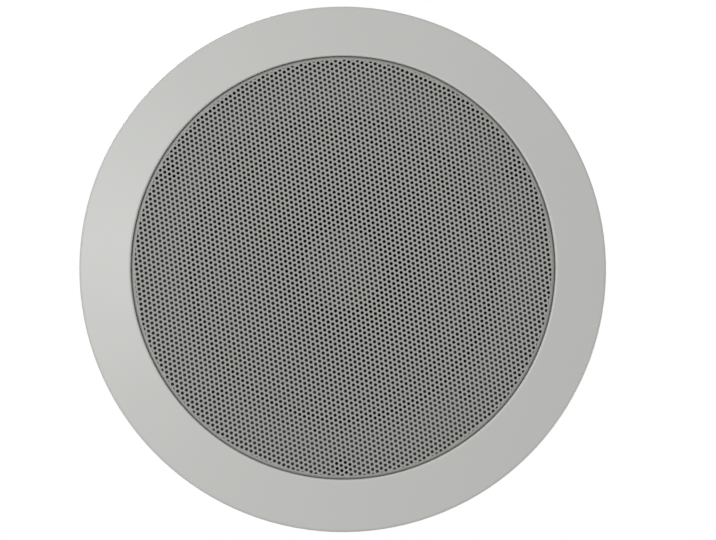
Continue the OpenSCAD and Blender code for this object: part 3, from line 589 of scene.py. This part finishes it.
# A sheet between two heights: the plan's faces, the same below, and a wall on each edge that has one face
def sheetMesh(points, faces, bottom, top):
    used = np.unique(np.concatenate([np.asarray(face) for face in faces]))
    number = np.full(len(points), -1)
    number[used] = np.arange(len(used))
    plan = points[used]
    upper = [number[face].tolist() for face in faces]
    starts = np.concatenate(upper)
    ends = np.concatenate([face[1:] + face[:1] for face in upper])
    n = len(plan)
    alone = ~np.isin(starts * n + ends, ends * n + starts)
    s, e = starts[alone], ends[alone]
    walls = np.stack([e, s, s + n, e + n], 1).tolist()
    lower = [[v + n for v in reversed(face)] for face in upper]
    levels = [np.column_stack([plan, np.full(n, z)]) for z in (top, bottom)]
    return np.vstack(levels), upper + lower + walls


# The rolled edge is a closed section: the outer arc, the end of the return and the inner arc back
def buildGrille(g):
    out, front, end = high("grille")[0], low("grille")[2], high("grille")[2]
    flat = out - g["bend"]
    points, faces, count = latticeFaces(g, flat + g["lap"])
    verts, faces = sheetMesh(points, faces, front, front + g["sheet"])
    a = np.linspace(-np.pi / 2, 0, g["arc"])
    inner = g["bend"] - g["sheet"]
    profile = np.vstack([
        np.stack([flat + g["bend"] * np.cos(a), front + g["bend"] + g["bend"] * np.sin(a)], 1),
        [[out, end], [out - g["sheet"], end]],
        np.stack([flat + inner * np.cos(a[::-1]), front + g["bend"] + inner * np.sin(a[::-1])], 1)])
    ring, quads = turned(profile, g["round"])
    mesh = meshOf("grille_sheet", np.vstack([verts, ring]), faces + (quads + len(verts)).tolist())
    place("grille_sheet", mesh, "grille_steel", stands=("grille",), smooth=False)
    print("grille:", count, "holes")


buildGrille(grille)


# Closed section of a strip: the middle line moved by half the thickness to both sides
def ribbon(middle, thick):
    middle = np.asarray(middle, float)
    tangent = np.gradient(middle, axis=0)
    tangent /= np.linalg.norm(tangent, axis=1)[:, None]
    side = np.stack([-tangent[:, 1], tangent[:, 0]], 1) * thick / 2
    return np.vstack([middle - side, (middle + side)[::-1]])


def radii(mesh):
    points = coordinates(mesh)
    return np.hypot(points[:, 0], points[:, 1])


# Soft pieces of the woofer: half-roll surround and corrugated spider, and the cone between them (mm)
surround = dict(inner=54.6, outer=71.3, roll=62.0, radius=5.0, level=8.75, thick=0.5, fillet=0.9,
                foot=(0.25, 0.2), slope=0.18)
spider = dict(former=13.12, start=15.1, end=39.0, outer=44.5, level=39.8, wave=1.3, waves=5, thick=0.36,
              collar=((0, 1.5), (0.25, 0.6), (0.8, 0.06)))
cone = dict(lap=58.0, top=55.0, neck=13.1, shelf=9.0, deep=27.0, curve=1.12, thick=0.92, flat=0.8)


def buildSurround(s):
    a = np.linspace(math.pi + s["slope"], 2 * math.pi - s["slope"], 40)
    roll = np.stack([s["roll"] + s["radius"] * np.cos(a), s["level"] + s["radius"] * np.sin(a)], 1)
    carried, held = s["roll"] - s["radius"], s["roll"] + s["radius"]
    aside, down = s["foot"]
    inner = [[s["inner"], s["level"]], [carried - s["fillet"], s["level"]],
             [carried - aside, s["level"] - down]]
    outer = [[held + aside, s["level"] - down],
             [held + s["fillet"], s["level"]], [s["outer"], s["level"]]]
    mesh = turnedMesh("surround_roll", ribbon(np.vstack([inner, roll, outer]), s["thick"]) * mm, 192)
    piece = place("surround_roll", mesh, "rubber", rides=None, stands=("surround",))
    stretch(piece, 1 - easeBetween(radii(mesh), carried * mm, held * mm))


def buildSpider(s):
    t = np.linspace(0, 1, s["waves"] * 20 + 1)
    r = s["start"] + (s["end"] - s["start"]) * t
    z = s["level"] - s["wave"] + s["wave"] * np.cos(2 * math.pi * s["waves"] * t)
    collar = [[s["former"] + out, s["level"] - down] for out, down in s["collar"]]
    middle = np.vstack([collar, np.stack([r, z], 1), [[s["outer"], s["level"]]]])
    mesh = turnedMesh("spider_cloth", ribbon(middle, s["thick"]) * mm, 160)
    piece = place("spider_cloth", mesh, "spider_cloth", rides=None, stands=("spider",))
    stretch(piece, 1 - easeBetween(radii(mesh), s["start"] * mm, s["end"] * mm))


# The cone's front: z = shelf + deep * (share of the way from the top to the neck) ** curve
def coneLevel(c, r):
    return c["shelf"] + c["deep"] * np.clip((c["top"] - r) / (c["top"] - c["neck"]), 0, 1) ** c["curve"]


def buildCone(c):
    r = np.linspace(c["top"], c["neck"], 56)
    front = np.stack([r, coneLevel(c, r)], 1)
    back = (front + [0, c["thick"]])[::-1]
    profile = np.vstack([[[c["lap"], c["shelf"]]], front, back, [[c["lap"], c["shelf"] + c["flat"]]]])
    mesh = turnedMesh("cone_paper", profile * mm, 192)
    place("cone_paper", mesh, "cone_fibre", "cone_assembly", ("cone",))


buildSurround(surround)
buildSpider(spider)
buildCone(cone)
print("woofer: surround, spider, cone")

# Tweeter's soft dome, a piece of a ball, with its half-roll edge (mm)
dome = dict(radius=10.15, rise=2.5, level=8.5, rollAt=11.35, rollRadius=1.05, sunk=0.1, outer=15.5,
            thick=0.3, pin=0.02)


def buildDome(d):
    ball = (d["radius"] ** 2 + d["rise"] ** 2) / (2 * d["rise"])
    r = np.linspace(d["pin"], d["radius"], 24)
    cap = np.stack([r, d["level"] - d["rise"] + ball - np.sqrt(ball ** 2 - r ** 2) + d["thick"] / 2], 1)
    a = np.linspace(math.pi, 2 * math.pi, 14)
    out, up = d["rollRadius"] * np.cos(a), d["rollRadius"] * np.sin(a)
    roll = np.stack([d["rollAt"] + out, d["level"] - d["sunk"] + up], 1)
    middle = np.vstack([cap[:-1], roll, [[d["outer"], d["level"] - d["thick"] / 2]]])
    mesh = turnedMesh("tweeter_diaphragm", ribbon(middle, d["thick"]) * mm, 96)
    piece = place("tweeter_diaphragm", mesh, "dome_silk", rides=None, stands=("tweeter_dome",))
    held, carried = (d["rollAt"] + d["rollRadius"]) * mm, (d["rollAt"] - d["rollRadius"]) * mm
    stretch(piece, 1 - easeBetween(radii(mesh), carried, held))


buildDome(dome)

# Leads in planes of constant x, rounded by the curve that the solids use (mm, as y and z)
leads = dict(
    tinsel=dict(x=(0.6, 4.8), radius=0.6, sides=12, points=(
        (58.1, 40.3), (58.7, 37), (56, 33), (50, 31.2), (43, 31), (36, 30.4), (28, 27.28))),
    woofer=dict(x=(0.6, 4.8), radius=0.9, sides=16, points=(
        (79.7, 24.6), (75.6, 26.4), (70.55, 33), (66, 40), (61, 44.8), (56.5, 44.6))),
    tweeter=dict(x=(-1.05, 1.05), radius=0.9, sides=16, points=(
        (79.7, 45), (72, 47.5), (62, 56.1), (53, 66.1), (49.6, 76.1), (45, 82.4), (36, 84), (24, 85.4),
        (13, 90.6), (5, 92.6), (0.4, 90), (0, 84), (0, 70.1), (0, 40), (0, 26))))


def leadPaths(lead):
    route = smoothRoute([(0, y, z) for y, z in lead["points"]])
    return [(route + [x, 0, 0]) * mm for x in lead["x"]]


def leadMesh(name, lead):
    return tubesMesh(name, leadPaths(lead), lead["radius"] * mm, lead["sides"])


# Weights along the tinsel leads ease from 0 to 1 between 6 and 94 per cent of their length
def buildLeads(sets, bend=(0.06, 0.94)):
    braid = sets["tinsel"]
    mesh = leadMesh("tinsel_braid", braid)
    piece = place("tinsel_braid", mesh, "tinsel", rides=None, stands=("tinsel_leads",))
    weights = []
    for path in leadPaths(braid):
        length = np.concatenate([[0], np.cumsum(np.linalg.norm(np.diff(path, axis=0), axis=1))])
        weights.append(np.repeat(easeBetween(length / length[-1], *bend), braid["sides"]))
    stretch(piece, np.concatenate(weights))
    for name, slot in (("woofer", "lead_red"), ("tweeter", "lead_black")):
        place(name + "_wires", leadMesh(name + "_wires", sets[name]), slot, stands=(name + "_leads",))


buildLeads(leads)
print("leads: 6")

# Screws: one surface from the middle of the head to the tip. Head z = dome + cross recess, which is given
# as half width, reach and depth. Thread r = shank - depth * triangle wave of (z / pitch - angle / 2 pi),
# which is right-handed. Lengths in mm, places on a circle at angles in degrees
screws = dict(
    clamp=dict(circle=86.0, angles=(30, 150, 270), head=3.6, front=5.6, ball=5.0, under=8.0, shank=2.0,
               tip=55.0, pitch=1.5, depth=0.22, cross=(0.42, 2.1, 1.5)),
    woofer=dict(circle=76.5, angles=(45, 135, 225, 315), head=3.1, front=4.7, ball=4.6, under=6.9,
                shank=1.6, tip=14.8, pitch=1.1, depth=0.3, cross=(0.36, 1.75, 1.3)))


def screwParts(s, degrees, turns=48, pin=0.01, edge=0.12, runIn=0.3, runOut=1.2, point=1.0):
    angle = np.linspace(0, 2 * np.pi, turns, endpoint=False)
    ca, sa = np.cos(angle), np.sin(angle)
    half, reach, deep = s["cross"]
    rows = []
    for r in np.concatenate([[pin], np.linspace(0.15, s["head"] * 0.985, 20)]):
        z = s["front"] + s["ball"] - math.sqrt(s["ball"] ** 2 - r ** 2)
        x, y = abs(r * ca), abs(r * sa)
        wide = np.clip((half - np.minimum(x, y)) / 0.12, 0, 1)
        long = np.clip((reach - np.maximum(x, y)) / 0.5, 0, 1)
        rows.append((r + 0 * ca, z + deep * (wide * long)))
    rim = rows[-1][1].max() + edge
    for r, z in ((s["head"], rim), (s["head"], s["under"]), (s["shank"], s["under"])):
        rows.append((r + 0 * ca, z + 0 * ca))
    for z in np.arange(s["under"] + runIn, s["tip"] - runOut, s["pitch"] / 6):
        wave = np.abs(((z / s["pitch"] - angle / (2 * np.pi)) % 1) * 2 - 1)
        rows.append((s["shank"] - s["depth"] * wave, z + 0 * ca))
    core = s["shank"] - s["depth"]
    for r, z in ((core, s["tip"] - point), (s["shank"] * 0.55, s["tip"]), (pin, s["tip"])):
        rows.append((r + 0 * ca, z + 0 * ca))
    r, z = (np.array([row[k] for row in rows]) for k in (0, 1))
    x, y = s["circle"] * math.cos(math.radians(degrees)), s["circle"] * math.sin(math.radians(degrees))
    points = np.stack([x + r * ca, y + r * sa, z], -1) * mm
    return points.reshape(-1, 3), gridFaces(len(rows), turns, False, True)[:, ::-1]


def buildScrews(kinds):
    clamp, woofer = kinds["clamp"], kinds["woofer"]
    for letter, degrees in zip("abc", clamp["angles"]):
        name = "clamp_screw_thread_" + letter
        mesh = meshOf(name, *screwParts(clamp, degrees))
        place(name, mesh, "zinc_steel", "screw_" + letter, ("clamp_screw_" + letter,))
    mesh = joinedMesh("woofer_screw_set", [screwParts(woofer, degrees) for degrees in woofer["angles"]])
    place("woofer_screw_set", mesh, "basket_steel", stands=("woofer_screws",))


buildScrews(screws)
print("screws: 7")


# Solder and glue: a low dome on a point and along a direction. With t from 0 at the rim to 1 at the middle,
# the radius falls by slope * t in the foot and then as a cosine, and the height is a sine of t
def dab(at, along, radius, height, sides=20, foot=0.3, slope=0.6, pin=0.01 * mm):
    t = np.linspace(0, 1, 9)
    top = (1 - slope * foot) * np.cos((t - foot) / (1 - foot) * math.pi / 2) ** 0.7
    r = radius * np.where(t < foot, 1 - slope * t, top)
    h = height * np.sin(t * math.pi / 2) ** 1.2
    r[-1] = pin
    turn = Vector(along).to_track_quat("Z", "Y").to_matrix()
    angle = np.linspace(0, 2 * np.pi, sides, endpoint=False)
    rows = np.stack([r[:, None] * np.cos(angle), r[:, None] * np.sin(angle), h[:, None] + 0 * angle], -1)
    points = rows.reshape(-1, 3) @ np.array(turn).T + np.asarray(at)
    quads = gridFaces(len(t), sides, False, True)[:, ::-1].tolist()
    return points, quads + [list(range(sides - 1, -1, -1))]


def dabsMesh(name, spots):
    return joinedMesh(name, [dab(np.array(at) * mm, along, radius * mm, height * mm)
                             for at, along, radius, height in spots])


# Rows of dabs: x of each, y and z of the row, its direction, radius and height (mm). The board's faces are
# its lowest and highest y
boardFaces = low("crossover_board")[1] / mm, high("crossover_board")[1] / mm
joints = dict(
    solder=(((0.6, 4.8), boardFaces[0], 24.6, (0, -1, 0), 1.5, 1.2),
            ((-1.05, 1.05), boardFaces[0], 45.0, (0, -1, 0), 1.4, 1.1),
            ((0.6, 4.8), 56.6, 43.2, (0, 0, 1), 1.35, 1.9),
            ((-7.5, 7.5), boardFaces[0], 37.0, (0, -1, 0), 1.0, 0.28),
            ((0.6, 4.8), boardFaces[1], 24.6, (0, 1, 0), 1.3, 0.9)),
    glue=(((0.6, 4.8), 28.4, 26.2, (0, 0.57, 0.82), 2.3, 1.7),))


def spotsOf(rows):
    return [((x, y, z), *size) for row, y, z, *size in rows for x in row]


def buildJoints(j):
    place("solder_dabs", dabsMesh("solder_dabs", spotsOf(j["solder"])), "zinc_steel")
    place("lead_glue", dabsMesh("lead_glue", spotsOf(j["glue"])), "cone_fibre", "cone_assembly")


buildJoints(joints)


# Choke: layers of round wire in the bobbin, seen as ridges of half the wire's thickness. Turned about the
# bobbin's axis, which starts at the point and runs along -Y (mm)
choke = dict(at=(15.5, 79.95, 30.0), inner=4.45, outer=8.4, start=1.25, end=10.75, wire=0.56)


def buildChoke(c):
    n = int((c["end"] - c["start"]) / c["wire"])
    wire = (c["end"] - c["start"]) / n
    profile = [[c["inner"], c["start"]]]
    for k in range(n):
        a = np.linspace(-math.pi / 2, math.pi / 2, 7)
        middle = c["start"] + (k + 0.5) * wire
        out = c["outer"] - wire / 2 + wire / 2 * np.cos(a)
        profile += np.stack([out, middle + wire / 2 * np.sin(a)], 1).tolist()
    profile.append([c["inner"], c["end"]])
    mesh = turnedMesh("choke_wire", np.array(profile) * mm, 72)
    turn = Matrix.Translation(Vector(c["at"]) * mm) @ Matrix.Rotation(math.pi / 2, 4, "X")
    mesh.transform(turn)
    place("choke_wire", mesh, "copper", stands=("choke_winding",))


buildChoke(choke)

# Legs of the capacitor, the resistor and the choke: out of the body, round a bend and into the board's
# inner face. The choke's route is y from that face and z under the bobbin's middle, in mm like the dabs
legs = dict(nodes=("capacitor", "resistor"), reach=1.7 * mm, wire=0.36 * mm, into=0.6 * mm, pad=1.35,
            dab=0.75, chokeAside=(-2.6, 2.6), chokeWire=0.3 * mm,
            choke=((-2.4, 8.0), (-2.0, 9.9), (-1.1, 10.5), (0.0, 10.7), (0.6, 10.7)))


def buildLegs(s):
    face = low("crossover_board")[1]
    paths, spots = [], []
    for node in s["nodes"]:
        lo, hi = low(node), high(node)
        y, z = (lo[1] + hi[1]) / 2, (lo[2] + hi[2]) / 2
        for x, side in ((lo[0], -1), (hi[0], 1)):
            out = x + side * s["reach"]
            route = [(x - side * 0.4 * mm, y, z), (x + side * 0.6 * s["reach"], y, z),
                     (out, y + 0.5 * s["reach"], z), (out, face - 0.5 * mm, z), (out, face + s["into"], z)]
            paths.append(smoothRoute(route))
            spots.append(((out / mm, face / mm, z / mm), (0, -1, 0), s["pad"], s["dab"]))
    place("component_legs", tubesMesh("component_legs", paths, s["wire"], 10, (0, 0, 1.0)), "zinc_steel")
    lo, hi = low("choke_bobbin"), high("choke_bobbin")
    middle = (lo + hi) / 2
    wires = []
    for aside in s["chokeAside"]:
        x = middle[0] + aside * mm
        wires.append(smoothRoute([(x, face + y * mm, middle[2] - z * mm) for y, z in s["choke"]]))
        spots.append(((x / mm, face / mm, wires[-1][-1][2] / mm), (0, -1, 0), s["pad"], s["dab"]))
    place("choke_tails", tubesMesh("choke_tails", wires, s["chokeWire"], 10), "copper")
    place("leg_solder", dabsMesh("leg_solder", spots), "zinc_steel")


buildLegs(legs)

# Copper tracks under the solder mask on the board's outer face: x and z of each middle line, in mm
tracks = dict(width=1.5, lift=0.07, sunk=0.02, green=(0.06, 0.24, 0.09), routes=(
    ((12.9, 19.3), (9.2, 19.3), (4.8, 23.2), (4.8, 24.6)),
    ((-1.3, 20.2), (0.6, 22.2), (0.6, 24.6)),
    ((18.1, 19.3), (21.0, 22.2), (21.0, 27.5), (18.0, 30.5), (14.0, 30.5)),
    ((-24.7, 20.2), (-24.7, 33.0), (-21.5, 36.5), (-14.0, 36.5)),
    ((-22.5, 15.8), (22.5, 15.8))))


def buildTracks(s):
    parts = []
    for route in s["routes"]:
        outline = ribbon(route, s["width"])
        n = len(outline)
        levels = [np.column_stack([outline[:, 0], np.full(n, y), outline[:, 1]])
                  for y in (boardFaces[1] - s["sunk"], boardFaces[1] + s["lift"])]
        under = list(range(n))
        over = [v + n for v in reversed(under)]
        walls = [[b, a, a + n, b + n] for a, b in zip(under, under[1:] + under[:1])]
        parts.append((np.vstack(levels) * mm, [under, over] + walls))
    piece = place("board_tracks", joinedMesh("board_tracks", parts), "circuit_board")
    piece.data.materials[0] = skinMaterial("maskOverCopper", s["green"], 0.3, 1200, 0.15, 0.2)


buildTracks(tracks)
print("board: solder, choke winding, legs, tracks")
